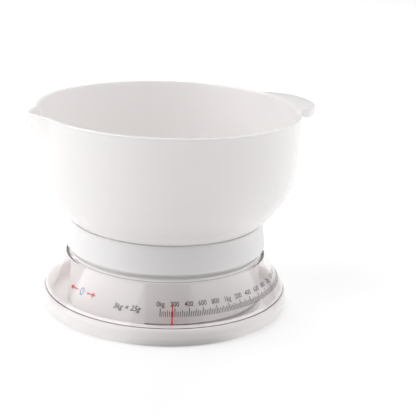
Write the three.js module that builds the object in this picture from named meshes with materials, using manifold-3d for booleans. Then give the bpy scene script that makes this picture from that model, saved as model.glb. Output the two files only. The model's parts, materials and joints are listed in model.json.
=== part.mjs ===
// Mechanical kitchen scale with a lift-off bowl, a clear dial cover that turns and a sprung lever mechanism.
// Millimetres, +Z up. The origin is on the bowl's axis at the height of the feet, and -Y is the front.
import * as THREE from "three";
import { mergeVertices } from "three/addons/utils/BufferGeometryUtils.js";
import Module from "manifold-3d";

const wasm = await Module();
wasm.setup();

// ---- Driving dimensions ----

const gap = 0.3; // between pieces that touch
const shellSides = 60; // facets of the large round shells
const smallSides = 12; // facets of pins, screws and bushes

const base = {
  floorBottom: 3,
  floorTop: 5,
  footRadius: 7,
  footCircle: 84,
  edgeRadius: 100.4,
  widest: 101.2,
  rimTop: 13.4,
};
const housing = {
  bottom: 5.4,
  bottomRadius: 78.2,
  neckRadius: 76.2,
  top: 50,
  wall: 1.8,
  mouthRadius: 22,
  bossCircle: 66,
  bossAngles: [50, 110, 180, 240],
};
const slot = { low: 6.9, high: 10.2, from: -100.8, to: 30 }; // swept by the pointer arm
const cover = { bottom: 13.8, bottomRadius: 99.2, shoulder: 42.8, shoulderRadius: 81.2, wall: 2.1, lipRadius: 77 };
const drum = { bottom: 50.1, bottomRadius: 81.45, top: 72.5, topRadius: 78.8, floor: 60.6, wall: 2, recess: 17 };
const bowl = {
  bottom: 61,
  rimTop: 162.6,
  rimRadius: 105,
  wall: 2,
  curveTop: 122.94, // below this height the side is a quarter of an ellipse
  curveTopRadius: 103.8,
  curveCentre: -8.3,
  curveReach: 112.1,
  curveDepth: 78.5,
};
const spout = { angle: 198, halfWidth: 12.5, reach: 9.8, depth: 27, fullDepth: 4 };
const thumbTab = { angle: 21, halfWidth: 21.5, reach: 11.3, bluntness: 2.5, skirt: 6.8, wall: 1.8 };

const deck = { bottom: 16, top: 18, left: -60, right: 24, halfWidth: 32 };
const posts = [[-54, 26], [-54, -26], [18, 26], [-16, -28]];
const pinRadius = 1.5;
const holeRadius = pinRadius + gap;
const lever = { length: 50, upper: 44.2, lower: 29, side: 7, thickness: 2, fork: 3 };
const stem = { half: 4, bottom: 26.2, flangeTop: 55.3, flangeRadius: 15 };
const crank = { x: 12, y: -10.2, z: 36.6, shortArm: 12, longArm: 24, thickness: 2.6, restTilt: 0.25, pinRadius: 1.2 };
const crankWindow = { left: 2.4, right: 20 }; // the long arm swings in it
const rack = { bottom: 11.1, top: 14.5, back: -13.1, left: -21.5, right: 10, notch: 6 };
const gear = { teeth: 16, pitchRadius: 6.25, pressure: THREE.MathUtils.degToRad(20), backlash: 0.3 };
const spring = { side: 25, radius: 5.5, wire: 0.6, turns: 4.5, bottom: 20.3, top: 32.5 };
const yoke = { bottom: 32.8, top: 34.8, halfLength: 31, halfWidth: 5 };
const pointer = { angle: -85.5, low: 8, high: 9.6, length: 84, bladeRadius: 82, bladeTop: 28 };

// ---- Materials ----

const paint = (color, roughness, metalness = 0) =>
  new THREE.MeshStandardMaterial({ color, roughness, metalness });
const whitePlastic = paint(0xf4f3f1, 0.35);
const clearPlastic = paint(0xe9eaec, 0.08);
const redPlastic = paint(0xc8202c, 0.4);
const greyNylon = paint(0xb9babd, 0.5);
const blackRubber = paint(0x2c2c2e, 0.85);
const zincSteel = paint(0xb4b8bc, 0.35, 0.9);
const springSteel = paint(0x8c9094, 0.3, 0.95);
const brass = paint(0xc9a45a, 0.3, 0.9);

// ---- Joining and cutting ----

// A closed three.js geometry as a solid: its corners are merged and its collapsed faces dropped.
function solidOf(geometry) {
  const bare = geometry.clone();
  bare.deleteAttribute("normal");
  bare.deleteAttribute("uv");
  const merged = mergeVertices(bare, 1e-4);
  const index = merged.index.array;
  const corners = [];
  for (let i = 0; i < index.length; i += 3) {
    const [a, b, c] = index.slice(i, i + 3);
    if (a !== b && b !== c && c !== a) corners.push(a, b, c);
  }
  const vertProperties = merged.attributes.position.array;
  return new wasm.Manifold(new wasm.Mesh({ numProp: 3, vertProperties, triVerts: new Uint32Array(corners) }));
}

function geometryOf(solid) {
  const { vertProperties, triVerts } = solid.getMesh();
  const geometry = new THREE.BufferGeometry();
  geometry.setAttribute("position", new THREE.BufferAttribute(vertProperties, 3));
  geometry.setIndex(new THREE.BufferAttribute(triVerts, 1));
  geometry.computeVertexNormals();
  return geometry;
}

const join = (...bodies) => geometryOf(bodies.map(solidOf).reduce((whole, next) => whole.add(next)));
const cut = (body, ...tools) =>
  geometryOf(tools.map(solidOf).reduce((rest, tool) => rest.subtract(tool), solidOf(body)));

// ---- Basic shapes ----

const onCircle = (radius, degrees) => {
  const angle = THREE.MathUtils.degToRad(degrees);
  return [radius * Math.cos(angle), radius * Math.sin(angle)];
};

// A closed profile of [radius, height] pairs, listed anticlockwise, turned about the Z axis.
function turned(profile, sides = shellSides) {
  const points = [...profile, profile[0]].map(([radius, height]) => new THREE.Vector2(radius, height));
  return new THREE.LatheGeometry(points, sides).rotateX(Math.PI / 2);
}

const ring = (inner, outer, low, high, sides = smallSides) =>
  turned([[inner, low], [outer, low], [outer, high], [inner, high]], sides);

const block = (left, right, front, back, low, high) =>
  new THREE.BoxGeometry(right - left, back - front, high - low)
    .translate((left + right) / 2, (front + back) / 2, (low + high) / 2);

const post = (x, y, radius, low, high, sides = smallSides) =>
  new THREE.CylinderGeometry(radius, radius, high - low, sides)
    .rotateX(Math.PI / 2)
    .translate(x, y, (low + high) / 2);

// A round rod along Y.
const rod = (x, z, radius, front, back) =>
  new THREE.CylinderGeometry(radius, radius, back - front, smallSides).translate(x, (front + back) / 2, z);

// A plate whose outline is drawn in X and Y, lying level.
const levelPlate = (outline, low, high) =>
  new THREE.ExtrudeGeometry(outline, { depth: high - low, bevelEnabled: false, curveSegments: 4 })
    .translate(0, 0, low);

// A plate whose outline is drawn in X and Z, standing upright across Y.
const uprightPlate = (outline, y, thickness) =>
  new THREE.ExtrudeGeometry(outline, { depth: thickness, bevelEnabled: false, curveSegments: 4 })
    .rotateX(Math.PI / 2)
    .translate(0, y + thickness / 2, 0);

function roundedRectangle(left, right, front, back, corner) {
  const outline = new THREE.Shape();
  outline.absarc(right - corner, front + corner, corner, -Math.PI / 2, 0);
  outline.absarc(right - corner, back - corner, corner, 0, Math.PI / 2);
  outline.absarc(left + corner, back - corner, corner, Math.PI / 2, Math.PI);
  outline.absarc(left + corner, front + corner, corner, Math.PI, 1.5 * Math.PI);
  return outline;
}

// A pan-head screw along Z: the head's flat face is at seat, and it points down, or up when upward is 1.
function screw(x, y, seat, shankEnd, upward, headRadius = 2.8, shankRadius = 1.25) {
  const headHeight = 1.5 * upward;
  const headProfile = [[0, 0], [headRadius, 0], [headRadius, 0.9], [headRadius * 0.7, 1.5], [0, 1.5]];
  const head = turned(headProfile, smallSides);
  if (upward < 0) head.rotateX(Math.PI);
  head.translate(x, y, seat);
  const shank = post(x, y, shankRadius, Math.min(seat, shankEnd) + 0.1, Math.max(seat, shankEnd) + 0.1);
  if (upward < 0) shank.translate(0, 0, -0.2);
  const slotMiddle = seat + headHeight;
  const driverSlot = block(x - 2, x + 2, y - 0.35, y + 0.35, slotMiddle - 0.6, slotMiddle + 0.6);
  return cut(join(head, shank), driverSlot);
}

const parts = new THREE.Group();

function piece(name, geometry, material, group = parts) {
  const mesh = new THREE.Mesh(geometry, material);
  mesh.name = name;
  group.add(mesh);
  return mesh;
}

// ---- Bowl ----

// Radius of the bowl's outer side at a height, or of its inner side when inset is the wall.
function bowlRadius(height, inset = 0) {
  if (height >= bowl.curveTop) {
    const share = (height - bowl.curveTop) / (bowl.rimTop - bowl.curveTop);
    return bowl.curveTopRadius + share * (bowl.rimRadius - bowl.curveTopRadius) - inset;
  }
  const drop = (bowl.curveTop - height) / (bowl.curveDepth - inset);
  return bowl.curveCentre + (bowl.curveReach - inset) * Math.sqrt(1 - drop * drop);
}

// Heights up the curved side, closer together towards the floor.
function sideHeights(low, steps) {
  const start = Math.asin((bowl.curveTop - low) / bowl.curveDepth);
  return Array.from({ length: steps + 1 }, (_, i) => {
    const angle = start * (1 - i / steps);
    return bowl.curveTop - bowl.curveDepth * Math.sin(angle);
  });
}

// Pushes the rim outwards into a pouring beak.
function drawSpout(geometry) {
  const place = geometry.attributes.position;
  for (let i = 0; i < place.count; i += 1) {
    const [x, y, z] = [place.getX(i), place.getY(i), place.getZ(i)];
    const rise = THREE.MathUtils.smoothstep(z, bowl.rimTop - spout.depth, bowl.rimTop - spout.fullDepth);
    const angle = THREE.MathUtils.euclideanModulo(THREE.MathUtils.radToDeg(Math.atan2(y, x)), 360);
    const across = 1 - Math.abs(angle - spout.angle) / spout.halfWidth;
    if (rise <= 0 || across <= 0) continue;
    const push = 1 + (spout.reach * rise * across ** 1.2) / Math.hypot(x, y);
    place.setXY(i, x * push, y * push);
  }
  return geometry;
}

// The outline of the thumb tab: a crescent outside the rim, from the inner radius given.
function tabOutline(inner, inset) {
  const outline = new THREE.Shape();
  const steps = 12;
  for (let i = 0; i <= steps; i += 1) {
    const across = (2 * i) / steps - 1;
    const angle = thumbTab.angle + across * thumbTab.halfWidth;
    const reach = thumbTab.reach * (1 - Math.abs(across) ** thumbTab.bluntness) - inset;
    const [x, y] = onCircle(bowl.rimRadius - 0.5 + Math.max(reach, 0), angle);
    if (i === 0) outline.moveTo(x, y);
    else outline.lineTo(x, y);
  }
  for (let i = steps; i >= 0; i -= 1) {
    const angle = thumbTab.angle + ((2 * i) / steps - 1) * thumbTab.halfWidth;
    outline.lineTo(...onCircle(inner, angle));
  }
  return outline;
}

function makeBowl() {
  const floorTop = bowl.bottom + bowl.wall + 0.2;
  const straight = [spout.depth, spout.depth * 0.55, spout.fullDepth, 0].map((depth) => bowl.rimTop - depth);
  const outer = [...sideHeights(bowl.bottom, 7), ...straight].map((z) => [bowlRadius(z), z]);
  const inner = [...sideHeights(floorTop, 6), ...straight].map((z) => [bowlRadius(z, bowl.wall), z]).reverse();
  const shell = drawSpout(turned([[0, bowl.bottom], ...outer, ...inner, [0, floorTop]]));
  const rimInside = bowl.rimRadius - bowl.wall / 2;
  const plate = levelPlate(tabOutline(rimInside, 0), bowl.rimTop - thumbTab.wall, bowl.rimTop);
  const skirtLow = bowl.rimTop - thumbTab.skirt;
  const skirt = cut(
    levelPlate(tabOutline(rimInside, 0), skirtLow, bowl.rimTop - 0.5),
    levelPlate(tabOutline(rimInside - 3, thumbTab.wall), skirtLow - 1, bowl.rimTop - thumbTab.wall + 0.2),
  );
  return join(shell, plate, skirt);
}

// ---- Platform, its stem and what hangs on it ----

function makeDrum() {
  const { bottom, bottomRadius, top, topRadius, floor, wall, recess } = drum;
  const recessFloor = floor - 3;
  const dish = [68, 64.5].map((z) => [bowlRadius(z) + 0.6, z]);
  const profile = [
    [0, recessFloor - wall],
    [recess + wall, recessFloor - wall],
    [recess + wall + 1, floor - wall],
    [62.3, floor - wall],
    [68.6, 62.8],
    [76.8, 69.2],
    [bottomRadius - wall, bottom],
    [bottomRadius, bottom],
    [topRadius, top - 0.6],
    [topRadius - 0.4, top],
    [bowlRadius(top) + 0.35, top],
    ...dish,
    [61.4, floor],
    [recess + 1, floor],
    [recess, recessFloor],
    [0, recessFloor],
  ];
  const holes = stemScrewPlaces().map(([x, y]) => post(x, y, 1.25 + gap, recessFloor - 3, recessFloor + 1));
  return cut(turned(profile), ...holes);
}

const stemScrewPlaces = () => [90, 210, 330].map((angle) => onCircle(10.5, angle));

function makeStem() {
  const { half, bottom, flangeTop, flangeRadius } = stem;
  const flangeBottom = flangeTop - 2.4;
  const shoulder = block(-5.4, 5.4, -5.4, 5.4, yoke.top + gap, yoke.top + gap + 1.8);
  const body = join(
    block(-half, half, -half, half, bottom, flangeTop - 0.5),
    post(0, 0, flangeRadius, flangeBottom, flangeTop, 32),
    shoulder,
  );
  const pinHeights = [lever.lower, crank.z + 3, lever.upper];
  const pinHoles = pinHeights.map((z) => rod(0, z, holeRadius, -8, 8));
  const screwHoles = stemScrewPlaces().map(([x, y]) => post(x, y, 1.25 + gap, flangeBottom - 1, flangeTop + 1));
  return cut(body, ...pinHoles, ...screwHoles);
}

function addPlatform() {
  piece("platform_drum", makeDrum(), whitePlastic);
  piece("platform_stem", makeStem(), greyNylon);
  stemScrewPlaces().forEach(([x, y], i) => {
    piece(`stem_screw_${i + 1}`, screw(x, y, drum.floor - 3 + gap, stem.flangeTop - 4.6, 1), zincSteel);
  });
  const pinEnd = lever.side + 1.5;
  piece("upper_stem_pin", rod(0, lever.upper, pinRadius, -pinEnd, pinEnd), springSteel);
  piece("lower_stem_pin", rod(0, lever.lower, pinRadius, -pinEnd, pinEnd), springSteel);
  piece("crank_drive_pin", rod(0, crank.z + 3, crank.pinRadius, -12.6, 6), springSteel);
  const { bottom, top, halfLength, halfWidth } = yoke;
  const bar = levelPlate(roundedRectangle(-halfWidth, halfWidth, -halfLength, halfLength, 4), bottom, top);
  const eye = stem.half + gap;
  piece("spring_yoke", cut(bar, block(-eye, eye, -eye, eye, bottom - 1, top + 1)), zincSteel);
}

// ---- Dial cover ----

function makeCover() {
  const { bottom, bottomRadius, shoulder, shoulderRadius, wall, lipRadius } = cover;
  return turned([
    [bottomRadius - wall, bottom],
    [bottomRadius, bottom],
    [shoulderRadius, shoulder],
    [shoulderRadius - 0.7, shoulder + 0.8],
    [lipRadius, shoulder + 0.9],
    [lipRadius, shoulder - 0.9],
    [shoulderRadius - 1.8, shoulder - 1.1],
  ]);
}

// ---- Base and inner housing ----

const footAngles = { front_right: -45, rear_right: 45, rear_left: 135, front_left: -135 };
const bossPlaces = () => housing.bossAngles.map((angle) => onCircle(housing.bossCircle, angle));
const spindleRadius = 1.5;
const bushRadius = 4;

function makeBase() {
  const { floorBottom, floorTop, edgeRadius, widest, rimTop } = base;
  const tray = turned([
    [0, floorBottom],
    [94.5, floorBottom],
    [96, 1],
    [edgeRadius, 1],
    [widest - 0.2, 3],
    [widest, 6.5],
    [widest - 0.3, 10],
    [widest - 1, 12.4],
    [widest - 1.9, rimTop],
    [96.6, rimTop],
    [95.5, rimTop + 1.8],
    [94, rimTop + 1.8],
    [93.6, floorTop],
    [0, floorTop],
  ]);
  const bushCup = ring(bushRadius + gap, bushRadius + 2.3, floorTop - 0.5, floorTop + 2);
  const framePosts = posts.map(([x, y]) => post(x, y, 4, floorTop - 0.5, deck.bottom - gap));
  const frameHoles = posts.map(([x, y]) => post(x, y, 1.25 + gap, floorTop + 2, deck.bottom + 1));
  const housingHoles = bossPlaces().map(([x, y]) => post(x, y, 1.25 + gap, floorBottom - 1, floorTop + 1));
  return cut(join(tray, bushCup, ...framePosts), ...frameHoles, ...housingHoles);
}

// The part of a ring between two angles, as a level plate.
function sector(inner, outer, from, to, low, high) {
  const [start, end] = [from, to].map(THREE.MathUtils.degToRad);
  const outline = new THREE.Shape();
  outline.absarc(0, 0, outer, start, end, false);
  outline.absarc(0, 0, inner, end, start, true);
  return new THREE.ExtrudeGeometry(outline, { depth: high - low, bevelEnabled: false, curveSegments: 12 })
    .translate(0, 0, low);
}

function makeHousing() {
  const { bottom, bottomRadius, neckRadius, top, wall, mouthRadius } = housing;
  const flangeLow = cover.shoulder + 1.3;
  const shell = turned([
    [mouthRadius, top - wall],
    [neckRadius - wall - 0.2, top - wall],
    [bottomRadius - wall, bottom],
    [bottomRadius, bottom],
    [neckRadius + 0.2, flangeLow - 0.5],
    [neckRadius + 0.2, flangeLow],
    [neckRadius + 2.4, flangeLow],
    [neckRadius + 2.4, flangeLow + 1.3],
    [neckRadius + 0.1, flangeLow + 1.8],
    [neckRadius, top - 0.6],
    [neckRadius - 0.6, top],
    [mouthRadius, top],
  ]);
  const bosses = bossPlaces().map(([x, y]) => post(x, y, 3.5, bottom, top - wall + 0.5));
  const bossHoles = bossPlaces().map(([x, y]) => post(x, y, 1.25 + gap, bottom - 1, bottom + 11));
  const pointerSlot = sector(72, 84, slot.from, slot.to, slot.low, slot.high);
  return cut(join(shell, ...bosses), ...bossHoles, pointerSlot);
}

function addBase() {
  piece("base_tray", makeBase(), whitePlastic);
  piece("inner_housing", makeHousing(), whitePlastic);
  for (const [corner, angle] of Object.entries(footAngles)) {
    const [x, y] = onCircle(base.footCircle, angle);
    const foot = turned([[0, 0], [6, 0], [base.footRadius, 1], [base.footRadius, 2.7], [0, 2.7]], 24);
    piece(`foot_${corner}`, foot, blackRubber).position.set(x, y, 0);
  }
  bossPlaces().forEach(([x, y], i) => {
    piece(`housing_screw_${i + 1}`, screw(x, y, base.floorBottom - gap, 14, -1), zincSteel);
  });
}

// ---- Mechanism frame ----

function makeFrame() {
  const { bottom, top, left, right, halfWidth } = deck;
  const plate = levelPlate(roundedRectangle(left, right, -halfWidth, halfWidth, 6), bottom, top);
  const leverEar = roundedRectangle(-lever.length - 6, -lever.length + 6, top - 0.5, 47.6, 3);
  const crankEar = roundedRectangle(crank.x - 4, crank.x + 4, top - 0.5, crank.z + 3.8, 2);
  const ears = [
    ...[-10.3, 10.3].map((y) => uprightPlate(leverEar, y, 2)),
    ...[-12.95, -7.45].map((y) => uprightPlate(crankEar, y, 1.3)),
  ];
  const screwHoles = posts.map(([x, y]) => post(x, y, 1.25 + gap, bottom - 1, top + 1));
  const rivetHoles = rivetPlaces.map(([x, y]) => post(x, y, 1.2 + gap, bottom - 1, top + 1));
  const leverHoles = [lever.lower, lever.upper].map((z) => rod(-lever.length, z, holeRadius, -22, 22));
  const lightening = [[-27, 20, 7], [-36, -21, 6]].map(([x, y, r]) => post(x, y, r, 15, 19));
  return cut(
    join(plate, ...ears),
    post(0, 0, bushRadius + gap, bottom - 1, top + 1),
    block(crankWindow.left, crankWindow.right, crank.y - 2.1, crank.y + 2.1, bottom - 1, top + 0.1),
    rod(crank.x, crank.z, holeRadius, -15, -6),
    ...screwHoles,
    ...rivetHoles,
    ...leverHoles,
    ...lightening,
  );
}

const rivetPlaces = [[-12, -17.2], [-3, -17.2]];

function makeRackGuide() {
  const [left, right] = [-16, 1];
  const channel = cut(
    block(left, right, -15, -7.8, 10.1, 15.7),
    block(left - 1, right + 1, rack.back - gap, -7, rack.bottom - gap, rack.top + gap),
  );
  const holes = rivetPlaces.map(([x, y]) => post(x, y, 1.2 + gap, 13, 17));
  return cut(join(channel, block(left, right, -20, -14.5, 14.2, 15.7)), ...holes);
}

function makeRivet() {
  const [low, high] = [14.4, deck.top + gap];
  return turned([[0, low], [1.2, low], [1.2, high], [2.2, high], [1.7, high + 0.8], [0, high + 0.8]], smallSides);
}

function addFrame() {
  piece("mechanism_frame", makeFrame(), zincSteel);
  posts.forEach(([x, y], i) => {
    piece(`frame_screw_${i + 1}`, screw(x, y, deck.top + gap, 8.5, 1), zincSteel);
  });
  piece("rack_guide", makeRackGuide(), greyNylon);
  rivetPlaces.forEach(([x, y], i) => {
    piece(`guide_rivet_${i + 1}`, makeRivet(), zincSteel).position.set(x, y, 0);
  });
  const bore = spindleRadius + gap;
  piece("lower_spindle_bush", ring(bore, bushRadius, base.floorTop + gap, base.floorTop + 2.3), brass);
  piece("upper_spindle_bush", ring(bore, bushRadius, deck.bottom - 0.2, deck.top + 0.2), brass);
  piece("upper_lever_pin", rod(-lever.length, lever.upper, pinRadius, -12.5, 12.5), springSteel);
  piece("lower_lever_pin", rod(-lever.length, lever.lower, pinRadius, -12.5, 12.5), springSteel);
  piece("crank_pivot_pin", rod(crank.x, crank.z, pinRadius, -14.6, -5.8), springSteel);
}

// ---- Main springs ----

class Coil extends THREE.Curve {
  getPoint(share) {
    const angle = 2 * Math.PI * spring.turns * share;
    const closed = 0.1; // share of the height taken by the flat turn at each end
    const rise = THREE.MathUtils.clamp((share - closed) / (1 - 2 * closed), 0, 1);
    const ends = THREE.MathUtils.smoothstep(share, 0, closed) + THREE.MathUtils.smoothstep(share, 1 - closed, 1);
    const travel = spring.top - spring.bottom - 4 * spring.wire - 1.2;
    const z = spring.bottom + spring.wire + 0.6 * ends + 0.1 + travel * rise + spring.wire * ends;
    return new THREE.Vector3(spring.radius * Math.cos(angle), spring.radius * Math.sin(angle), z);
  }
}

function makeSpring() {
  const section = new THREE.Shape();
  section.absarc(0, 0, spring.wire, 0, 2 * Math.PI);
  const steps = Math.round(spring.turns * 12);
  return new THREE.ExtrudeGeometry(section, { steps, extrudePath: new Coil(), curveSegments: 3 });
}

function addSprings() {
  for (const [side, y] of [["front", -spring.side], ["rear", spring.side]]) {
    const low = deck.top + gap;
    const seat = turned([[0, low], [6, low], [6, low + 1.7], [4, low + 1.7], [3.6, low + 3.6], [0, low + 3.6]], 24);
    piece(`spring_seat_${side}`, seat, greyNylon).position.set(0, y, 0);
    piece(`main_spring_${side}`, makeSpring(), springSteel).position.set(0, y, 0);
  }
}

// ---- Levers, bell crank and rack ----

// Parallel lever: two side plates that end in open forks, joined by two cross bars.
function makeLever(height) {
  const { length, side, thickness, fork } = lever;
  const outline = new THREE.Shape();
  outline.absarc(-length, height, 3.5, Math.PI / 4, 1.75 * Math.PI);
  outline.lineTo(-8, height - 2.4);
  outline.lineTo(-4, height - fork);
  outline.lineTo(3.5, height - fork);
  outline.lineTo(3.5, height - holeRadius);
  outline.lineTo(-2.4, height - holeRadius);
  outline.lineTo(-2.4, height + holeRadius);
  outline.lineTo(3.5, height + holeRadius);
  outline.lineTo(3.5, height + fork);
  outline.lineTo(-4, height + fork);
  outline.lineTo(-8, height + 2.4);
  const sides = [-side, side].map((y) => uprightPlate(outline, y, thickness));
  const bars = [-34, -14].map((x) => block(x - 2.5, x + 2.5, -side, side, height - 1.2, height + 1.2));
  return cut(join(...sides, ...bars), rod(-length, height, holeRadius, -22, 22));
}

// Drawn with the short arm level towards -X and the long arm hanging, then turned to its rest tilt.
function makeCrank() {
  const { shortArm, longArm, thickness } = crank;
  const half = 1.6;
  const tipRadius = 2.2;
  const mouth = crank.pinRadius + gap + 0.1;
  const prong = mouth + 1.5;
  const forkEnd = -shortArm - 3;
  const fork = new THREE.Shape([
    [0, -half - 0.6],
    [0, half + 0.6],
    [-shortArm + 3, prong],
    [forkEnd, prong],
    [forkEnd, mouth],
    [-shortArm + 2.6, mouth],
    [-shortArm + 2.6, -mouth],
    [forkEnd, -mouth],
    [forkEnd, -prong],
    [-shortArm + 3, -prong],
  ].map(([x, z]) => new THREE.Vector2(x, z)));
  const body = join(
    uprightPlate(fork, 0, thickness),
    block(-half, half, -thickness / 2, thickness / 2, -longArm, 0),
    rod(0, 0, 3.4, -thickness / 2, thickness / 2),
    rod(0, -longArm, tipRadius, -thickness / 2, thickness / 2),
  );
  return cut(body, rod(0, 0, holeRadius, -5, 5));
}

function makeRack() {
  const pitch = (2 * Math.PI * gear.pitchRadius) / gear.teeth;
  const toothModule = pitch / Math.PI;
  const tip = -gear.pitchRadius + 0.9 * toothModule;
  const root = -gear.pitchRadius - 1.28 * toothModule;
  const flank = Math.tan(gear.pressure);
  const halfTooth = pitch / 4 - gear.backlash / 4;
  const outline = new THREE.Shape();
  outline.moveTo(rack.left, rack.back);
  outline.lineTo(rack.right, rack.back);
  outline.lineTo(rack.right, root);
  for (let tooth = 2; tooth >= -7; tooth -= 1) {
    const [wide, narrow] = [root, tip].map((y) => halfTooth - flank * (y + gear.pitchRadius));
    const middle = tooth * pitch;
    outline.lineTo(middle + wide, root);
    outline.lineTo(middle + narrow, tip);
    outline.lineTo(middle - narrow, tip);
    outline.lineTo(middle - wide, root);
  }
  outline.lineTo(rack.left, root);
  const halfNotch = 2.6;
  const notch = block(rack.notch - halfNotch, rack.notch + halfNotch, crank.y - 1.7, crank.y + 1.7, 10, 16);
  return cut(levelPlate(outline, rack.bottom, rack.top), notch);
}

function addLinkage() {
  piece("upper_lever", makeLever(lever.upper), zincSteel);
  piece("lower_lever", makeLever(lever.lower), zincSteel);
  const bellCrank = piece("bell_crank", makeCrank(), zincSteel);
  bellCrank.position.set(crank.x, crank.y, crank.z);
  bellCrank.rotation.y = crank.restTilt;
  piece("drive_rack", makeRack(), brass);
}

// ---- Pointer ----

// Involute gear outline with a tooth space facing -Y.
function makePinion() {
  const { teeth, pitchRadius, pressure, backlash } = gear;
  const toothModule = (2 * pitchRadius) / teeth;
  const baseRadius = pitchRadius * Math.cos(pressure);
  const involute = (angle) => Math.tan(angle) - angle;
  const tipRadius = pitchRadius + 0.9 * toothModule;
  const rootRadius = pitchRadius - 1.28 * toothModule;
  const halfAngle = (radius) => {
    const angle = Math.acos(Math.min(1, baseRadius / radius));
    return Math.PI / (2 * teeth) - backlash / (4 * pitchRadius) + involute(pressure) - involute(angle);
  };
  const flank = [rootRadius, baseRadius, pitchRadius, tipRadius];
  const outline = new THREE.Shape();
  for (let tooth = 0; tooth < teeth; tooth += 1) {
    const middle = -Math.PI / 2 + ((tooth + 0.5) * 2 * Math.PI) / teeth;
    const rising = flank.map((radius) => [radius, middle - halfAngle(radius)]);
    const falling = flank.map((radius) => [radius, middle + halfAngle(radius)]).reverse();
    for (const [radius, angle] of [...rising, ...falling]) {
      const [x, y] = [radius * Math.cos(angle), radius * Math.sin(angle)];
      if (tooth === 0 && radius === rootRadius && angle < middle) outline.moveTo(x, y);
      else outline.lineTo(x, y);
    }
  }
  return cut(levelPlate(outline, 10.9, 14.8), post(0, 0, spindleRadius + gap, 10, 16));
}

function makePointerArm() {
  const { low, high, length } = pointer;
  const taper = new THREE.Shape([
    new THREE.Vector2(-13, -2.6),
    new THREE.Vector2(length, -1.6),
    new THREE.Vector2(length, 1.6),
    new THREE.Vector2(-13, 2.6),
  ]);
  const hub = post(0, 0, 5.5, low - gap, high + 1, 24);
  return cut(join(levelPlate(taper, low, high), hub), post(0, 0, spindleRadius + gap, 5, 15));
}

function makePointerTip() {
  const { high, length, bladeRadius, bladeTop } = pointer;
  const blade = new THREE.Shape([
    new THREE.Vector2(bladeRadius - 0.7, high + 0.5),
    new THREE.Vector2(bladeRadius + 0.9, high + 0.5),
    new THREE.Vector2(bladeRadius + 0.4, bladeTop),
    new THREE.Vector2(bladeRadius - 0.5, bladeTop),
  ]);
  return join(block(79.6, length, -1.8, 1.8, high + gap, high + 1.4), uprightPlate(blade, 0, 1.4));
}

function addPointer() {
  const arm = new THREE.Group();
  arm.rotation.z = THREE.MathUtils.degToRad(pointer.angle);
  parts.add(arm);
  piece("pointer_arm", makePointerArm(), whitePlastic, arm);
  piece("pointer_tip", makePointerTip(), redPlastic, arm);
  piece("pointer_spindle", post(0, 0, spindleRadius, base.floorTop + 0.4, 19.3), springSteel);
  piece("pinion", makePinion(), brass);
  const circlip = cut(ring(spindleRadius + gap, 3.2, 18.5, 19.1), block(1, 4, -0.8, 0.8, 18, 20));
  piece("spindle_circlip", circlip, springSteel);
}

// ---- Assembly ----

piece("mixing_bowl", makeBowl(), whitePlastic);
addPlatform();
piece("dial_cover", makeCover(), clearPlastic);
addBase();
addFrame();
addSprings();
addLinkage();
addPointer();

export default parts;
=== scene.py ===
# Mechanical kitchen scale: visible shells, prints, finishes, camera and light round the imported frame.
# Lengths in the dictionaries are millimetres, and mm turns them into metres.
import json
import math

import bmesh
import bpy
from mathutils import Matrix, Vector


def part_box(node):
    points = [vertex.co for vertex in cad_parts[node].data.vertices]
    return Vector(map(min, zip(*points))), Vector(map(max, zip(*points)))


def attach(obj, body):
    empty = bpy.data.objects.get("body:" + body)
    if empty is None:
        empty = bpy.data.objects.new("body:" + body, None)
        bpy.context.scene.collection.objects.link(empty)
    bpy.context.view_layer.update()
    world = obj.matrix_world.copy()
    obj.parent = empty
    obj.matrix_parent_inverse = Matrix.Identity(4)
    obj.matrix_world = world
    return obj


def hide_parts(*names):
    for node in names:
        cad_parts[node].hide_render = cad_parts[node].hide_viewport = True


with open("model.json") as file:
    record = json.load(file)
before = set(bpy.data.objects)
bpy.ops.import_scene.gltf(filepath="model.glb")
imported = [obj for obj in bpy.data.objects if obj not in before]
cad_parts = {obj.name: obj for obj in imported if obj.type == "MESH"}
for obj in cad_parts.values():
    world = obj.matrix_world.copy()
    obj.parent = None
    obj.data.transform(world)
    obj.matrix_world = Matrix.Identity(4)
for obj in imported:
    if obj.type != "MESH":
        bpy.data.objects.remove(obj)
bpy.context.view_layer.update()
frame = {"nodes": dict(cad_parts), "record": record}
record = frame["record"]
scene = bpy.context.scene

mm = 0.001
fullTurn = 2 * math.pi


# Camera and light

camera = {  # distance, height, lens and near clip in millimetres, the turns in degrees
    "distance": 850.1, "height": 350.0, "down": 17.68, "aside": 2.27, "roll": 2.35,
    "lens": 94.37, "nearClip": 50.0,
}
lamps = {  # place, aim and size in metres, power in watts
    "leftSoftbox": {"at": (-1.75, -0.68, 1.25), "aim": (0, 0, 0.08), "size": (2.8, 2.6), "power": 44},
    "rightSoftbox": {"at": (1.85, -0.45, 1.2), "aim": (0, 0, 0.08), "size": (2.9, 2.4), "power": 27},
    "topSoftbox": {"at": (0.0, -0.2, 1.9), "aim": (0, 0, 0.08), "size": (1.8, 1.2), "power": 5},
    "rearSoftbox": {"at": (0.0, 1.9, 1.8), "aim": (0, 1.4, 0.0), "size": (2.6, 1.2), "power": 26},
}
room = {  # strengths of the world's light, and the direction along Y at which it starts to rise
    "fill": 0.03, "behind": 0.5, "throughGlass": 0.4, "backdrop": 0.9, "riseFrom": -0.5,
}
ground = {  # lengths in metres
    "half": 5.0, "glow": 0.28, "roughness": 0.9, "cloudScale": 3,
    "pale": ((0.79, 0.79, 0.79), (0.80, 0.80, 0.80)), "dim": ((0.46, 0.46, 0.46), (0.48, 0.48, 0.48)),
}
# the wedge of the floor that carries painted shade for the object's front, seen by diffuse rays only
wedge = {"skew": 0.18, "core": 0.02, "edge": 0.3, "near": -0.04, "far": -0.1}  # near and far in metres


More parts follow.
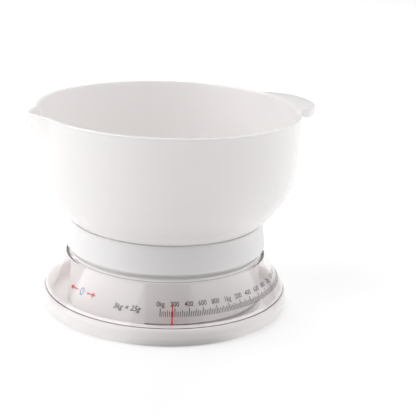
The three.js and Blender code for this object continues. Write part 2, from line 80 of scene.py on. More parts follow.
def setCamera():
    down, aside, roll = (math.radians(camera[key]) for key in ("down", "aside", "roll"))
    ahead = Vector((math.sin(aside) * math.cos(down), math.cos(aside) * math.cos(down), -math.sin(down)))
    right = Vector((math.cos(aside), -math.sin(aside), 0))
    up = right.cross(ahead)
    tiltedRight = right * math.cos(roll) + up * math.sin(roll)
    tiltedUp = up * math.cos(roll) - right * math.sin(roll)
    data = bpy.data.cameras.new("camera")
    data.lens = camera["lens"]
    data.clip_start = camera["nearClip"] * mm
    made = bpy.data.objects.new("camera", data)
    scene.collection.objects.link(made)
    turned = Matrix((tiltedRight, tiltedUp, -ahead)).transposed().to_4x4()
    place = Vector((0, -camera["distance"], camera["height"])) * mm
    made.matrix_world = Matrix.Translation(place) @ turned
    scene.camera = made


def setLamps():
    for name, lamp in lamps.items():
        data = bpy.data.lights.new(name, "AREA")
        data.shape = "RECTANGLE"
        data.size, data.size_y = lamp["size"]
        data.energy = lamp["power"]
        made = bpy.data.objects.new(name, data)
        scene.collection.objects.link(made)
        place = Vector(lamp["at"])
        aim = (Vector(lamp["aim"]) - place).to_track_quat("-Z", "Y").to_matrix().to_4x4()
        made.matrix_world = Matrix.Translation(place) @ aim


# Finishes


class Wire:  # a shader value, so that a formula reads as a formula
    def __init__(self, finish, socket):
        self.finish = finish
        self.socket = socket

    def sum(self, operation, first, second):
        return self.finish.node("Math", {"operation": operation}, {0: first, 1: second})

    def __add__(self, other):
        return self.sum("ADD", self, other)

    def __sub__(self, other):
        return self.sum("SUBTRACT", self, other)

    def __rsub__(self, other):
        return self.sum("SUBTRACT", other, self)

    def __mul__(self, other):
        return self.sum("MULTIPLY", self, other)

    def __pow__(self, other):
        return self.sum("POWER", self, other)

    def __truediv__(self, other):
        return self.sum("DIVIDE", self, other)

    def __rtruediv__(self, other):
        return self.sum("DIVIDE", other, self)

    __radd__ = __add__
    __rmul__ = __mul__


class Finish:  # the nodes of one material, or of the world
    def __init__(self, owner):
        owner.use_nodes = True
        self.owner = owner
        self.tree = owner.node_tree
        self.tree.nodes.clear()

    def node(self, kind, settings=None, sockets=None, out=0):
        made = self.tree.nodes.new("ShaderNode" + kind)
        for key, value in (settings or {}).items():
            if key == "stops":
                self.setStops(made.color_ramp, value)
            else:
                setattr(made, key, value)
        for key, value in (sockets or {}).items():
            if isinstance(value, Wire):
                self.tree.links.new(value.socket, made.inputs[key])
            else:
                made.inputs[key].default_value = value
        return Wire(self, made.outputs[out]) if len(made.outputs) else None

    def setStops(self, ramp, stops):
        while len(ramp.elements) < len(stops):
            ramp.elements.new(1.0)
        for element, (position, colour) in zip(ramp.elements, stops):
            element.position = position
            element.color = (*colour, 1)

    def place(self):
        return self.node("TexCoord", out="Object")  # in metres

    def ray(self, kind):
        return self.node("LightPath", out=f"Is {kind} Ray")

    def along(self, axis, vector):
        return self.node("SeparateXYZ", None, {0: vector}, out=axis)

    def mapped(self, value, fromLow, fromHigh, toLow, toHigh):
        return self.node("MapRange", None, {0: value, 1: fromLow, 2: fromHigh, 3: toLow, 4: toHigh})

    def noise(self, scale, detail=3.0, stretch=None):
        vector = self.place()
        if stretch:
            vector = self.node("Mapping", None, {"Vector": vector, "Scale": stretch})
        return self.node("TexNoise", None, {"Vector": vector, "Scale": scale, "Detail": detail})

    def bump(self, height, strength, distance):
        sockets = {"Height": height, "Strength": strength, "Distance": distance}
        return self.node("Bump", None, sockets)

    def between(self, share, first, second):
        settings = {"data_type": "RGBA"}  # the colour sockets are 6 and 7, the colour result is 2
        sockets = {0: share, 6: (*first, 1), 7: (*second, 1)}
        return self.node("Mix", settings, sockets, out=2)

    def surface(self, **sockets):
        named = {key.replace("_", " "): value for key, value in sockets.items()}
        return self.node("BsdfPrincipled", None, named)

    def done(self, shader, kind="OutputMaterial"):
        self.node(kind, None, {"Surface": shader})
        return self.owner


def newFinish(name):
    return Finish(bpy.data.materials.new(name))


plastic = {
    "cloudScale": 14, "grainRough": 0.10, "cloudRough": 0.06, "grainBump": 0.25, "index": 1.49,
    "coatRoughness": 0.08, "milkyRadius": (1.0, 0.93, 0.92), "milkyDepth": 0.006,
}


def mouldedPlastic(name, colour, shade, roughness, grain, depth, coat=0.0, milky=0.0):
    finish = newFinish(name)
    clouds = finish.noise(plastic["cloudScale"], 2)
    fine = finish.noise(grain, 4)
    grainRough, cloudRough = plastic["grainRough"] * (fine - 0.5), plastic["cloudRough"] * (clouds - 0.5)
    return finish.done(finish.surface(
        Base_Color=finish.between(clouds, colour, shade),
        Roughness=roughness + grainRough + cloudRough,
        Normal=finish.bump(fine, plastic["grainBump"], depth),
        IOR=plastic["index"],
        Coat_Weight=coat,
        Coat_Roughness=plastic["coatRoughness"],
        Subsurface_Weight=milky,
        Subsurface_Radius=plastic["milkyRadius"],
        Subsurface_Scale=plastic["milkyDepth"],
    ))


styrene = {
    "tint": (0.997, 0.978, 0.980, 1), "shadow": (1.0, 0.985, 0.986, 1), "index": 1.47, "transmission": 0.97,
    "polish": 0.015, "smearScale": 30, "smearRough": 0.035, "rippleScale": 55, "rippleBump": 0.15,
    "rippleDepth": 0.0002,
}


def clearStyrene(name):
    # clear to shadow and diffuse rays, so that the light reaches the housing behind it
    finish = newFinish(name)
    smears = finish.noise(styrene["smearScale"], 3)
    ripple = finish.noise(styrene["rippleScale"], 1)
    glass = finish.surface(
        Base_Color=styrene["tint"],
        Roughness=styrene["polish"] + styrene["smearRough"] * smears,
        Normal=finish.bump(ripple, styrene["rippleBump"], styrene["rippleDepth"]),
        IOR=styrene["index"],
        Transmission_Weight=styrene["transmission"],
    )
    shadow = finish.node("BsdfTransparent", None, {"Color": styrene["shadow"]})
    plain = finish.ray("Shadow") + finish.ray("Diffuse")
    return finish.done(finish.node("MixShader", None, {0: plain, 1: glass, 2: shadow}))


metal = {
    "lineScale": 260, "lineStretch": (1, 1, 0.08), "lineRough": 0.16, "lineBump": 0.2, "lineDepth": 0.00004,
    "cloudScale": 60,
}


def brushedMetal(name, colour, shade, roughness):
    finish = newFinish(name)
    lines = finish.noise(metal["lineScale"], 3, metal["lineStretch"])
    clouds = finish.noise(metal["cloudScale"], 2)
    return finish.done(finish.surface(
        Base_Color=finish.between(clouds, colour, shade),
        Roughness=roughness + metal["lineRough"] * (lines - 0.5),
        Normal=finish.bump(lines, metal["lineBump"], metal["lineDepth"]),
        Metallic=1.0,
    ))


ink = {"speckleScale": 900, "roughness": 0.32, "speckleRough": 0.14}


def printedInk(name, colour, shade):
    finish = newFinish(name)
    speckle = finish.noise(ink["speckleScale"], 2)
    return finish.done(finish.surface(
        Base_Color=finish.between(speckle, colour, shade),
        Roughness=ink["roughness"] + ink["speckleRough"] * (speckle - 0.5),
    ))


def studioFloor(name):
    # white all over to the camera, but to diffuse rays a wedge of it in front of the object is darker: painted
    # shade, so less light bounces up onto the object's front
    finish = newFinish(name)
    clouds = finish.noise(ground["cloudScale"], 2)
    seen = finish.surface(
        Base_Color=finish.between(clouds, *ground["pale"]),
        Roughness=ground["roughness"],
        Emission_Color=(1, 1, 1, 1),
        Emission_Strength=ground["glow"],
    )
    dim = finish.surface(Base_Color=finish.between(clouds, *ground["dim"]), Roughness=ground["roughness"])
    across, along = finish.along("X", finish.place()), finish.along("Y", finish.place())
    lean = (across / along + wedge["skew"]) ** 2.0
    inWedge = finish.mapped(lean, wedge["core"], wedge["edge"], 1.0, 0.0)
    inFront = finish.mapped(along, wedge["near"], wedge["far"], 0.0, 1.0)
    # painted shade: only diffuse rays in the wedge see the dim floor, the camera always sees it pale
    share = inWedge * inFront * finish.ray("Diffuse")
    return finish.done(finish.node("MixShader", None, {0: share, 1: seen, 2: dim}))


def makeFloor():
    shape = bmesh.new()
    bmesh.ops.create_grid(shape, x_segments=12, y_segments=12, size=ground["half"])
    mesh = bpy.data.meshes.new("floor")
    shape.to_mesh(mesh)
    shape.free()
    mesh.materials.append(studioFloor("studio floor"))
    made = bpy.data.objects.new("floor", mesh)
    scene.collection.objects.link(made)


def setWorld():
    # bright behind the object and dim in front of it, with a glow where it is seen directly or through glass
    finish = Finish(bpy.data.worlds.new("studio"))
    ahead = finish.along("Y", finish.node("TexCoord", out="Generated"))
    behind = finish.mapped(ahead, room["riseFrom"], 1.0, 0.0, room["behind"])
    glow = finish.ray("Transmission") * room["throughGlass"] + finish.ray("Camera") * room["backdrop"]
    light = finish.node("Background", None, {0: (1, 1, 1, 1), 1: behind + room["fill"] + glow})
    scene.world = finish.done(light, "OutputWorld")


glossWhite = mouldedPlastic(
    "gloss white plastic", (0.85, 0.824, 0.817), (0.835, 0.809, 0.802), 0.24, 700, 0.00005, coat=0.2, milky=0.7,
)
housingWhite = mouldedPlastic(
    "housing white plastic", (0.95, 0.915, 0.91), (0.93, 0.895, 0.89), 0.38, 700, 0.00006, milky=0.6,
)
finishes = {
    "white_gloss": glossWhite,
    "white_matt": mouldedPlastic(
        "matt white plastic", (0.84, 0.84, 0.83), (0.80, 0.80, 0.79), 0.55, 900, 0.0001,
    ),
    "clear": clearStyrene("clear styrene"),
    "red": mouldedPlastic("red plastic", (0.85, 0.022, 0.05), (0.80, 0.018, 0.045), 0.35, 900, 0.00005),
    "nylon": mouldedPlastic("grey nylon", (0.62, 0.62, 0.63), (0.56, 0.56, 0.57), 0.5, 800, 0.0001),
    "rubber": mouldedPlastic("black rubber", (0.03, 0.03, 0.032), (0.045, 0.045, 0.046), 0.8, 1200, 0.0002),
    "brass": brushedMetal("cut brass", (0.79, 0.60, 0.30), (0.70, 0.52, 0.25), 0.34),
    "spring_steel": brushedMetal("drawn steel", (0.42, 0.43, 0.45), (0.35, 0.36, 0.38), 0.3),
    "zinc_steel": brushedMetal("zinc plate", (0.66, 0.68, 0.70), (0.58, 0.60, 0.63), 0.36),
}
blackInk = printedInk("black ink", (0.02, 0.02, 0.022), (0.05, 0.05, 0.052))
blueInk = printedInk("blue ink", (0.12, 0.28, 0.52), (0.16, 0.33, 0.58))
redInk = printedInk("red ink", (0.62, 0.03, 0.05), (0.68, 0.06, 0.08))


# Shaping

sides = 240  # steps of a full spin


def rounded(corners, closed=False, steps=6):
    # corners are (radius, height) or (radius, height, fillet): each fillet becomes an arc
    points = []
    last = len(corners) - 1
    for i, (radius, height, *fillet) in enumerate(corners):
        here = Vector((radius, height))
        if not fillet or (not closed and i in (0, last)):
            points.append(here)
            continue
        before = (Vector(corners[i - 1][:2]) - here).normalized()
        after = (Vector(corners[0 if i == last else i + 1][:2]) - here).normalized()
        corner = before.angle(after)
        centre = here + (before + after).normalized() * fillet[0] / math.sin(corner / 2)
        reach = fillet[0] / math.tan(corner / 2)
        start, end = here + before * reach - centre, here + after * reach - centre
        sweep = math.pi - corner
        for k in range(steps + 1):
            share = k / steps
            a, b = math.sin((1 - share) * sweep), math.sin(share * sweep)
            points.append(centre + (start * a + end * b) / math.sin(sweep))
    return points


def spun(points, closed=False, steps=sides, marks=None):
    # a bmesh of the outline turned round the Z axis; marks are kept on each point's ring
    shape = bmesh.new()
    markLayer = shape.verts.layers.int.new("mark")
    ring = [shape.verts.new((p[0] * mm, 0, p[1] * mm)) for p in points]
    for vert, mark in zip(ring, marks or []):
        vert[markLayer] = mark
    edges = [shape.edges.new(pair) for pair in zip(ring, ring[1:])]
    if closed:
        edges.append(shape.edges.new((ring[-1], ring[0])))
    bmesh.ops.spin(
        shape, geom=ring + edges, cent=(0, 0, 0), axis=(0, 0, 1), dvec=(0, 0, 0),
        angle=fullTurn, steps=steps, use_merge=True, use_duplicate=False,
    )
    bmesh.ops.remove_doubles(shape, verts=shape.verts, dist=1e-6)
    bmesh.ops.recalc_face_normals(shape, faces=shape.faces)
    return shape


def piece(name, shape, material, body, replaced=(), sharp=35):
    mesh = bpy.data.meshes.new(name)
    shape.to_mesh(mesh)
    shape.free()
    mesh.shade_smooth()
    mesh.set_sharp_from_angle(angle=math.radians(sharp))
    mesh.materials.append(material)
    made = bpy.data.objects.new(name, mesh)
    scene.collection.objects.link(made)
    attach(made, body)
    if replaced:
        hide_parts(*replaced)
    return made


def addTo(shape, other):
    mesh = bpy.data.meshes.new("scrap")
    other.to_mesh(mesh)
    other.free()
    shape.from_mesh(mesh)
    bpy.data.meshes.remove(mesh)


def azimuth(point):
    return math.degrees(math.atan2(point[1], point[0])) % 360


def smoothStep(share):
    share = min(max(share, 0), 1)
    return share * share * (3 - 2 * share)


# Bowl

bowl = {
    "floor": 61.0, "rim": 162.6, "rimRadius": 105.0, "wall": 2.0,
    "curveTop": 122.94, "curveTopRadius": 103.8, "curveCentre": -8.3, "curveReach": 112.1, "curveDepth": 78.5,
    "floorExtra": 0.2, "footFillet": 4.0, "floorFillet": 9.0, "curveRings": 30,
    "straightRings": (30, 22, 16, 11, 7, 4.5),  # depths below the rim
}
spout = {  # azimuth and half width in degrees, and outside is a radius that only the side wall reaches
    "azimuth": 199.0, "halfWidth": 12.5, "reach": 8.9, "depth": 27.0, "fullDepth": 4.0, "bluntness": 0.9,
    "outside": 90.0,
}
thumbTab = {  # azimuth and half width in degrees, and the skirt is full where the tab reaches skirtRun out
    "azimuth": 21.0, "halfWidth": 21.5, "reach": 18.3, "bluntness": 2.5, "skirt": 5.0, "skirtRun": 6.0,
    "wall": 1.8,
}


def bowlRadius(height, inset=0.0):
    if height >= bowl["curveTop"]:
        share = (height - bowl["curveTop"]) / (bowl["rim"] - bowl["curveTop"])
        return bowl["curveTopRadius"] + share * (bowl["rimRadius"] - bowl["curveTopRadius"]) - inset
    drop = (bowl["curveTop"] - height) / (bowl["curveDepth"] - inset)
    return bowl["curveCentre"] + (bowl["curveReach"] - inset) * math.sqrt(1 - drop * drop)


def sideHeights(low, steps):
    start = math.asin((bowl["curveTop"] - low) / bowl["curveDepth"])
    turns = [start * (1 - i / steps) for i in range(steps + 1)]
    return [bowl["curveTop"] - bowl["curveDepth"] * math.sin(turn) for turn in turns]


def makeBowl():
    rim, wall, rings = bowl["rim"], bowl["wall"], bowl["curveRings"]
    floorTop = bowl["floor"] + wall + bowl["floorExtra"]
    straight = [rim - depth for depth in bowl["straightRings"]]
    outer = [(bowlRadius(z), z) for z in sideHeights(bowl["floor"], rings) + straight]
    inner = [(bowlRadius(z, wall), z) for z in sideHeights(floorTop, rings) + straight][::-1]
    outer[0] = (*outer[0], bowl["footFillet"])
    inner[-1] = (*inner[-1], bowl["floorFillet"])
    edge = bowl["rimRadius"]
    # the rim's outer lip: under side, inner and outer foot of the skirt, outer edge, top edge
    lip = [
        ((edge - 0.03, rim - 2.4), 0), ((edge + 0.05, rim - 1.9), 1), ((edge + 0.12, rim - 1.85), 2),
        ((edge + 0.30, rim - 1.75), 3), ((edge + 0.38, rim - 1.5), 4), ((edge + 0.38, rim - 0.7), 4),
        ((edge + 0.26, rim - 0.3), 4), ((edge + 0.02, rim - 0.07), 4), ((edge - 0.3, rim), 4),
        ((edge - 0.8, rim), 0), ((edge - wall + 0.7, rim), 0), ((edge - wall + 0.2, rim - 0.2), 0),
        ((edge - wall, rim - 0.8), 0),
    ]
    lower = rounded([(0, bowl["floor"])] + outer)
    upper = rounded(inner + [(0, floorTop)])
    points = lower + [point for point, mark in lip] + upper
    marks = [0] * len(lower) + [mark for point, mark in lip] + [0] * len(upper)
    shape = spun(points, marks=marks)
    drawTab(shape)
    drawSpout(shape)
    return shape


def drawTab(shape):
    # spreads the rim's lip into a crescent flange with a turned-down skirt
    markLayer = shape.verts.layers.int["mark"]
    for vert in shape.verts:
        mark = vert[markLayer]
        across = (azimuth(vert.co) - thumbTab["azimuth"] + 180) % 360 - 180
        across /= thumbTab["halfWidth"]
        if not mark or abs(across) >= 1:
            continue
        reach = thumbTab["reach"] * (1 - abs(across) ** thumbTab["bluntness"])
        out = reach if mark >= 3 else max(reach - thumbTab["wall"], 0)
        down = thumbTab["skirt"] * smoothStep(reach / thumbTab["skirtRun"]) if mark in (2, 3) else 0
        radius = math.hypot(vert.co.x, vert.co.y)
        vert.co.xy *= 1 + out * mm / radius
        vert.co.z -= down * mm


def drawSpout(shape):
    # pushes the upper wall out into a beak, from nothing at its depth to its full reach near the rim
    for vert in shape.verts:
        depth = bowl["rim"] - vert.co.z / mm
        rise = smoothStep((spout["depth"] - depth) / (spout["depth"] - spout["fullDepth"]))
        across = 1 - abs(azimuth(vert.co) - spout["azimuth"]) / spout["halfWidth"]
        radius = math.hypot(vert.co.x, vert.co.y)
        if rise <= 0 or across <= 0 or radius < spout["outside"] * mm:
            continue
        blunt = spout["bluntness"]
        push = spout["reach"] * rise * (across * blunt + smoothStep(across) * (1 - blunt))
        vert.co.xy *= 1 + push * mm / radius


# Platform

drum = {
    "low": 50.1, "lowRadius": 81.45, "top": 72.5, "topRadius": 78.8, "floor": 60.6, "wall": 2.0,
    "recess": 17.0, "recessDepth": 3, "bowlGap": 0.6, "lipGap": 0.35,
}


def makeDrum():
    low, lowRadius, top, floor, wall, recess = (
        drum[key] for key in ("low", "lowRadius", "top", "floor", "wall", "recess")
    )
    sunk, bowlGap = floor - drum["recessDepth"], drum["bowlGap"]
    # the underside, the skirt from inside to outside, then the dish that the bowl stands in
    corners = [
        (0, sunk - wall), (recess + wall, sunk - wall, 0.6), (recess + wall + 1, floor - wall, 1.0),
        (62.3, floor - wall, 3.0), (68.6, 62.8, 4.0), (76.8, 69.2, 1.5),
        (lowRadius - wall, low, 0.5), (lowRadius, low, 0.6), (drum["topRadius"], top, 0.7),
        (bowlRadius(top) + drum["lipGap"], top, 0.25), (bowlRadius(68) + bowlGap, 68, 6.0),
        (bowlRadius(64.5) + bowlGap, 64.5, 6.0),
        (61.4, floor, 3.0), (recess + 1, floor, 0.8), (recess, sunk, 1.0), (0, sunk),
    ]
    return spun(rounded(corners))


# Dial cover

cover = {
    "low": 13.8, "lowRadius": 99.2, "shoulder": 42.8, "shoulderRadius": 81.2, "wall": 2.1,
    "lipRadius": 78.1, "lipRise": 0.8, "lipDrop": 0.4, "steps": 288,
}


def makeCover():
    low, lowRadius, shoulder, shoulderRadius = (
        cover[key] for key in ("low", "lowRadius", "shoulder", "shoulderRadius")
    )
    corners = [
        (lowRadius - cover["wall"], low, 0.3), (lowRadius, low, 0.4), (shoulderRadius, shoulder + 0.3, 1.6),
        (cover["lipRadius"], shoulder + cover["lipRise"], 0.4),
        (cover["lipRadius"], shoulder - cover["lipDrop"], 0.4),
        (shoulderRadius - 1.8, shoulder - 1.1, 0.8),
    ]
    return spun(rounded(corners, closed=True), closed=True, steps=cover["steps"])


def coverPoint(angle, height, lift):
    # a point on the cover's outer cone: angle in degrees, height and lift off the surface in millimetres
    run = cover["shoulder"] - cover["low"]
    taper = (cover["lowRadius"] - cover["shoulderRadius"]) / run
    outward = Vector((1, taper)).normalized()
    radius = cover["lowRadius"] - taper * (height - cover["low"]) + outward.x * lift
    turn = math.radians(angle)
    return Vector((radius * math.cos(turn), radius * math.sin(turn), height + outward.y * lift)) * mm


# Prints on the cover

dial = {
    "zeroAngle": -91.7, "fullAngle": 104.0, "fullLoad": 3000, "step": 25,
    "figureStep": 200, "mediumStep": 100,
    "tickFoot": 22.0, "shortTick": 3.4, "mediumTick": 4.4, "longTick": 5.5,
    "tickWidth": 0.46, "longWidth": 0.56,
    "figureHeight": 28.6, "figureSize": 5.5, "figureWeight": 0.085, "figureNarrow": 0.82,
    "ink": 0.05, "gap": 0.02, "cutStep": 2.0,
}


def dialAngle(load):
    return dial["zeroAngle"] + dial["fullAngle"] * load / dial["fullLoad"]


def tickSize(load):
    if load % dial["figureStep"] == 0:
        return dial["longTick"], dial["longWidth"]
    if load % dial["mediumStep"] == 0:
        return dial["mediumTick"], dial["tickWidth"]
    return dial["shortTick"], dial["tickWidth"]


def makeGraduation():
    shape = bmesh.new()
    for load in range(0, dial["fullLoad"] + 1, dial["step"]):
        length, width = tickSize(load)
        lift = dial["ink"] / 2 + dial["gap"]
        foot, top = (coverPoint(dialAngle(load), dial["tickFoot"] + rise, lift) for rise in (0, length))
        up = (top - foot).normalized()
        along = Vector((0, 0, 1)).cross(Vector((foot.x, foot.y, 0))).normalized()
        out = along.cross(up)
        size = Matrix.Diagonal((width * mm, (top - foot).length, dial["ink"] * mm, 1))
        turned = Matrix((along, up, out)).transposed().to_4x4()
        place = Matrix.Translation((foot + top) / 2) @ turned @ size
        bmesh.ops.create_cube(shape, size=1, matrix=place)
    return shape


def textShape(words, size, slant=0.0, weight=0.0, narrow=1.0):
    data = bpy.data.curves.new("words", "FONT")
    data.offset = weight
    data.body = words
    data.size = size
    data.shear = slant
    data.align_x = "CENTER"
    data.extrude = dial["ink"] / 2
    data.resolution_u = 4
    holder = bpy.data.objects.new("words", data)
    scene.collection.objects.link(holder)
    mesh = bpy.data.meshes.new_from_object(holder)
    shape = bmesh.new()
    shape.from_mesh(mesh)
    bpy.data.objects.remove(holder)
    bpy.data.curves.remove(data)
    bpy.data.meshes.remove(mesh)
    bmesh.ops.remove_doubles(shape, verts=shape.verts, dist=1e-4)
    bmesh.ops.scale(shape, verts=shape.verts, vec=(narrow, 1, 1))
    return shape


def wrapOnCover(shape, angle, height):
    # lays a flat drawing in millimetres on the cone, its origin at the angle and height given
    wide = max(abs(vert.co.x) for vert in shape.verts)
    step = dial["cutStep"]  # cut into strips, so that the drawing can bend
    cut = -math.floor(wide / step) * step
    while cut < wide:
        everything = shape.verts[:] + shape.edges[:] + shape.faces[:]
        bmesh.ops.bisect_plane(shape, geom=everything, dist=1e-6, plane_co=(cut, 0, 0), plane_no=(1, 0, 0))
        cut += step
    tall = cover["shoulder"] - cover["low"]
    rise = tall / math.hypot(tall, cover["lowRadius"] - cover["shoulderRadius"])
    radius = coverPoint(0, height, 0).x / mm
    for vert in shape.verts:
        level = height + vert.co.y * rise
        turn = angle + math.degrees(vert.co.x / radius)
        vert.co = coverPoint(turn, level, vert.co.z + dial["ink"] / 2 + dial["gap"])
    return shape


def figureWords(load):
    if load == 0:
        return "0kg"
    return f"{load // 1000}kg" if load % 1000 == 0 else str(load % 1000)


def makeFigures():
    shape = bmesh.new()
    size, weight, narrow = dial["figureSize"], dial["figureWeight"], dial["figureNarrow"]
    for load in range(0, dial["fullLoad"] + 1, dial["figureStep"]):
        words = textShape(figureWords(load), size, weight=weight, narrow=narrow)
        addTo(shape, wrapOnCover(words, dialAngle(load), dial["figureHeight"]))
    return shape


rangePrint = {
    "words": "3kg × 25g", "angle": -108.1, "height": 24.4, "size": 5.8, "slant": 0.3, "weight": 0.06,
    "narrow": 0.95,
}


def makeRangePrint():
    shape = textShape(*(rangePrint[key] for key in ("words", "size", "slant", "weight", "narrow")))
    return wrapOnCover(shape, rangePrint["angle"], rangePrint["height"])


zeroMark = {
    "angle": -135.0, "height": 26.0, "figure": 9.0, "spread": 5.5,
    "bar": 1.1, "barLength": 9.0, "barHeight": 3.2, "head": 3.2, "flare": 0.7,
}


def makeZeroFigure():
    return wrapOnCover(textShape("0", zeroMark["figure"]), zeroMark["angle"], zeroMark["height"])


def makeZeroArrows():
    # a bar with an arrow head on each side of the figure, saying that the cover turns both ways
    shape = bmesh.new()
    for side in (-1, 1):
        start, end = zeroMark["spread"], zeroMark["spread"] + zeroMark["barLength"]
        half, head, middle = zeroMark["bar"] / 2, zeroMark["head"], zeroMark["barHeight"]
        flare = head * zeroMark["flare"]
        outline = [
            (start, half), (start, -half), (end - head, -half), (end - head, -flare),
            (end, 0), (end - head, flare), (end - head, half),
        ]
        corners = [shape.verts.new((side * x, middle + y, -dial["ink"] / 2)) for x, y in outline]
        face = shape.faces.new(corners)
        lifted = bmesh.ops.extrude_face_region(shape, geom=[face])
        raised = [part for part in lifted["geom"] if isinstance(part, bmesh.types.BMVert)]
        bmesh.ops.translate(shape, verts=raised, vec=(0, 0, dial["ink"]))
    bmesh.ops.recalc_face_normals(shape, faces=shape.faces)
    return wrapOnCover(shape, zeroMark["angle"], zeroMark["height"])


# Inner housing and base

housing = {
    "low": 5.4, "lowRadius": 78.2, "neckRadius": 76.2, "top": 50.0, "wall": 1.8, "mouthRadius": 22.0,
    "flangeLift": 1.3, "flangeReach": 2.4, "steps": 360,
    "bossCircle": 66.0, "bossRadius": 3.5, "bossAngles": (50, 110, 180, 240), "bossSunk": 0.4,
}
slot = {"low": 6.9, "high": 10.2, "start": 259.2, "sweep": 130.8, "outside": 70.0}
base = {"floorLow": 3.0, "floorTop": 5.0, "edgeRadius": 100.4, "widest": 101.2, "rim": 13.4}
posts = {
    "radius": 4.0, "top": 15.7, "sunk": 0.4, "places": ((-54, 26), (-54, -26), (18, 26), (-16, -28)),
    "sides": 40, "round": 0.3,
}


def makePost(shape, x, y, radius, low, high):
    made = bmesh.ops.create_cone(
        shape, cap_ends=True, segments=posts["sides"], radius1=radius * mm, radius2=radius * mm,
        depth=(high - low) * mm,
        matrix=Matrix.Translation(Vector((x, y, (low + high) / 2)) * mm),
    )
    rims = {edge for vert in made["verts"] for edge in vert.link_edges if edge.calc_length() < radius * mm}
    bmesh.ops.bevel(
        shape, geom=list(rims), offset=posts["round"] * mm, segments=2, profile=0.5, affect="EDGES",
        material=-1,
    )


def makeHousing():
    neck, wall = housing["neckRadius"], housing["wall"]
    flange, reach = cover["shoulder"] + housing["flangeLift"], housing["flangeReach"]
    taper = (housing["lowRadius"] - neck - 0.2) / (flange - housing["low"])
    wallAt = [housing["lowRadius"] - taper * (slot[key] - housing["low"]) for key in ("low", "high")]
    corners = [
        (housing["mouthRadius"], housing["top"] - wall, 0.4), (neck - wall - 0.2, housing["top"] - wall, 0.6),
        (wallAt[1] - wall, slot["high"]), (wallAt[0] - wall, slot["low"]),
        (housing["lowRadius"] - wall, housing["low"]), (housing["lowRadius"], housing["low"]),
        (wallAt[0], slot["low"]), (wallAt[1], slot["high"]),
        (neck + 0.2, flange, 0.25), (neck + reach, flange, 0.3), (neck + reach, flange + 1.3, 0.5),
        (neck + 0.1, flange + 1.9, 0.6), (neck, housing["top"], 0.9),
        (housing["mouthRadius"], housing["top"], 0.6),
    ]
    shape = spun(rounded(corners, closed=True), closed=True, steps=housing["steps"])
    openSlot(shape)
    bossTop = housing["top"] - wall + housing["bossSunk"]
    for angle in housing["bossAngles"]:
        turn = math.radians(angle)
        x, y = housing["bossCircle"] * math.cos(turn), housing["bossCircle"] * math.sin(turn)
        makePost(shape, x, y, housing["bossRadius"], housing["low"], bossTop)
    return shape


def openSlot(shape):
    # takes out both skins of the wall between the slot's edges and joins the two openings
    low, high = slot["low"] * mm, slot["high"] * mm
    gone = []
    for face in shape.faces:
        middle = face.calc_center_median()
        turn = (azimuth(middle) - slot["start"]) % 360
        inWall = middle.xy.length > slot["outside"] * mm
        if inWall and low < middle.z < high and turn < slot["sweep"]:
            gone.append(face)
    bmesh.ops.delete(shape, geom=gone, context="FACES")
    rims = [edge for edge in shape.edges if edge.is_boundary]
    bmesh.ops.bridge_loops(shape, edges=rims)
    bmesh.ops.recalc_face_normals(shape, faces=shape.faces)


def makeBase():
    floorLow, floorTop, widest, rim = (base[key] for key in ("floorLow", "floorTop", "widest", "rim"))
    corners = [
        (0, floorLow), (94.5, floorLow, 0.8), (96, 1, 0.6), (base["edgeRadius"], 1, 0.7),
        (widest, 5.5, 8.0), (widest - 0.5, 10.6, 4.0), (widest - 1.9, rim, 1.0), (96.6, rim, 0.3),
        (95.5, rim + 1.8, 0.4), (94, rim + 1.8, 0.4), (93.6, floorTop, 1.2), (0, floorTop),
    ]
    shape = spun(rounded(corners))
    for x, y in posts["places"]:
        makePost(shape, x, y, posts["radius"], floorTop - posts["sunk"], posts["top"])
    return shape


rubberFoot = {"recess": 0.5, "recessRadius": 2.2, "ringRadius": 2.8, "shoulder": 1.0, "steps": 72}


def makeFoot(node):
    low, high = (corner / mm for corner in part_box(node))
    centre, radius = (low + high) / 2, (high.x - low.x) / 2
    recess, recessRadius, ringRadius, shoulder = (
        rubberFoot[key] for key in ("recess", "recessRadius", "ringRadius", "shoulder")
    )
    corners = [
        (0, recess), (recessRadius, recess, 0.2), (ringRadius, 0, 0.3),
        (radius - shoulder, 0, 0.5), (radius, shoulder, 0.6), (radius, high.z, 0.3), (0, high.z),
    ]
    shape = spun(rounded(corners, steps=3), steps=rubberFoot["steps"])
    bmesh.ops.translate(shape, verts=shape.verts, vec=Vector((centre.x, centre.y, 0)) * mm)
    return shape


# Pointer

pointerTip = {
    "bladeWide": 1.3, "bladeDeep": 1.1, "bladeLow": 8.4, "bladeTop": 28.0, "bladeRadius": 82.0, "taper": 0.7,
    "footRadius": 81.8, "footDeep": 4.4, "footWide": 3.6, "footTall": 1.1, "round": 0.22,
}


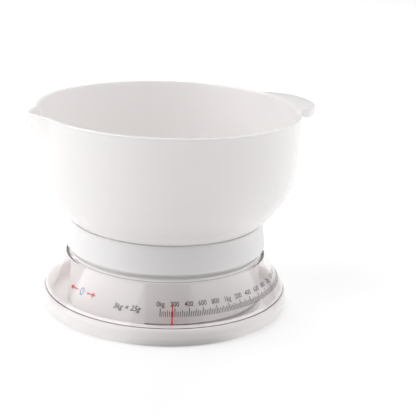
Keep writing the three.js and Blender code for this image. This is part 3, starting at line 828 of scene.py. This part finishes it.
def makePointerTip():
    low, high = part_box("pointer_tip")
    centre = (low + high) / 2
    angle = math.atan2(centre.y, centre.x)
    shape = bmesh.new()
    bladeLow, bladeTop = pointerTip["bladeLow"], pointerTip["bladeTop"]
    size = (pointerTip["bladeDeep"] * mm, pointerTip["bladeWide"] * mm, (bladeTop - bladeLow) * mm, 1)
    middle = Vector((pointerTip["bladeRadius"], 0, (bladeTop + bladeLow) / 2)) * mm
    made = bmesh.ops.create_cube(shape, size=1, matrix=Matrix.Translation(middle) @ Matrix.Diagonal(size))
    top = [vert for vert in made["verts"] if vert.co.z > middle.z]
    for vert in top:
        vert.co.y *= pointerTip["taper"]
        vert.co.x += (middle.x - vert.co.x) * (1 - pointerTip["taper"])
    footDeep, footWide, footTall = (pointerTip[key] * mm for key in ("footDeep", "footWide", "footTall"))
    footMiddle = Vector((pointerTip["footRadius"] * mm, 0, low.z + footTall / 2))
    footSize = Matrix.Diagonal((footDeep, footWide, footTall, 1))
    bmesh.ops.create_cube(shape, size=1, matrix=Matrix.Translation(footMiddle) @ footSize)
    bmesh.ops.bevel(
        shape, geom=shape.edges[:], offset=pointerTip["round"] * mm, segments=3, profile=0.5, affect="EDGES",
        material=-1,
    )
    bmesh.ops.rotate(shape, verts=shape.verts, cent=(0, 0, 0), matrix=Matrix.Rotation(angle, 3, "Z"))
    return shape


# Screws

screw = {  # radii and depths, then what the cross and the shank narrow to
    "head": 2.8, "crown": 1.9, "tall": 1.5, "shank": 1.25, "cross": 1.5, "slit": 0.35, "deep": 0.8,
    "shoulder": 0.25, "shoulderDrop": 0.35, "crossNarrow": 0.75, "shankNarrow": 0.9,
}


def makeScrew(node, upward):
    # a pan head with a cross recess, turned up or down, on the place of the plain one
    low, high = (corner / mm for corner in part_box(node))
    shape = bmesh.new()
    circle = bmesh.ops.create_circle(shape, cap_ends=False, radius=screw["crown"], segments=48)["verts"]
    rim = list({edge for vert in circle for edge in vert.link_edges})
    arm, slit = screw["cross"], screw["slit"]
    quarter = [(arm, -slit), (arm, slit), (slit, slit)]
    cross = []
    for k in range(4):
        turn = Matrix.Rotation(k * math.pi / 2, 2)
        cross += [shape.verts.new((*(turn @ Vector(corner)), 0)) for corner in quarter]
    crossEdges = [shape.edges.new((cross[i - 1], cross[i])) for i in range(len(cross))]
    bmesh.ops.bridge_loops(shape, edges=rim + crossEdges)
    shoulder, drop = screw["shoulder"], screw["shoulderDrop"]
    pushLoop(shape, crossEdges, screw["crossNarrow"], -screw["deep"], fill=True)
    edges = pushLoop(shape, rim, (screw["head"] - shoulder) / screw["crown"], -shoulder)
    edges = pushLoop(shape, edges, screw["head"] / (screw["head"] - shoulder), -drop)
    edges = pushLoop(shape, edges, 1.0, -screw["tall"] + shoulder + drop)
    edges = pushLoop(shape, edges, screw["shank"] / screw["head"], 0)
    pushLoop(shape, edges, screw["shankNarrow"], -(high.z - low.z - screw["tall"]), fill=True)
    bmesh.ops.recalc_face_normals(shape, faces=shape.faces)
    turned = Matrix.Identity(4) if upward else Matrix.Rotation(math.pi, 4, "X")
    seat = high.z if upward else low.z
    middle = (low + high) / 2
    place = Matrix.Translation(Vector((middle.x, middle.y, seat)) * mm) @ turned @ Matrix.Scale(mm, 4)
    bmesh.ops.transform(shape, verts=shape.verts, matrix=place)
    return shape


def pushLoop(shape, edges, scale, drop, fill=False):
    # extrudes a loop of edges, scales it about the axis and drops it
    made = bmesh.ops.extrude_edge_only(shape, edges=edges)["geom"]
    verts = [part for part in made if isinstance(part, bmesh.types.BMVert)]
    newEdges = [part for part in made if isinstance(part, bmesh.types.BMEdge)]
    for vert in verts:
        vert.co.xy *= scale
        vert.co.z += drop
    loop = [edge for edge in newEdges if all(vert in verts for vert in edge.verts)]
    if fill:
        bmesh.ops.holes_fill(shape, edges=loop, sides=0)
    return loop


# Making it all

setCamera()
setLamps()
scene.view_settings.view_transform = "Standard"
setWorld()
makeFloor()
print("studio ready")

for entry in record["subparts"]:
    mesh = frame["nodes"][entry["node"]].data
    mesh.materials.clear()
    mesh.materials.append(finishes[entry["material_slot"]])
print("frame finished")

piece("bowl", makeBowl(), glossWhite, "bowl", ["mixing_bowl"])
piece("platform", makeDrum(), housingWhite, "platform", ["platform_drum"])
piece("clear_cover", makeCover(), finishes["clear"], "dial_cover", ["dial_cover"])
piece("housing", makeHousing(), housingWhite, "base", ["inner_housing"])
piece("base", makeBase(), glossWhite, "base", ["base_tray"])
print("shells made")

piece("graduation", makeGraduation(), blackInk, "dial_cover")
piece("graduation_figures", makeFigures(), blackInk, "dial_cover")
piece("range_print", makeRangePrint(), blackInk, "dial_cover")
piece("zero_figure", makeZeroFigure(), blueInk, "dial_cover")
piece("zero_arrows", makeZeroArrows(), redInk, "dial_cover")
print("prints made")

piece("pointer_blade", makePointerTip(), finishes["red"], "pointer", ["pointer_tip"])
for corner in ("front_left", "front_right", "rear_left", "rear_right"):
    node = f"foot_{corner}"
    piece(f"rubber_{node}", makeFoot(node), finishes["rubber"], "base", [node])
for body, prefix, count, upward in (("platform", "stem_screw", 3, True), ("base", "housing_screw", 4, False)):
    for i in range(1, count + 1):
        node = f"{prefix}_{i}"
        piece(f"cross_{node}", makeScrew(node, upward), finishes["zinc_steel"], body, [node])
print("small pieces made")
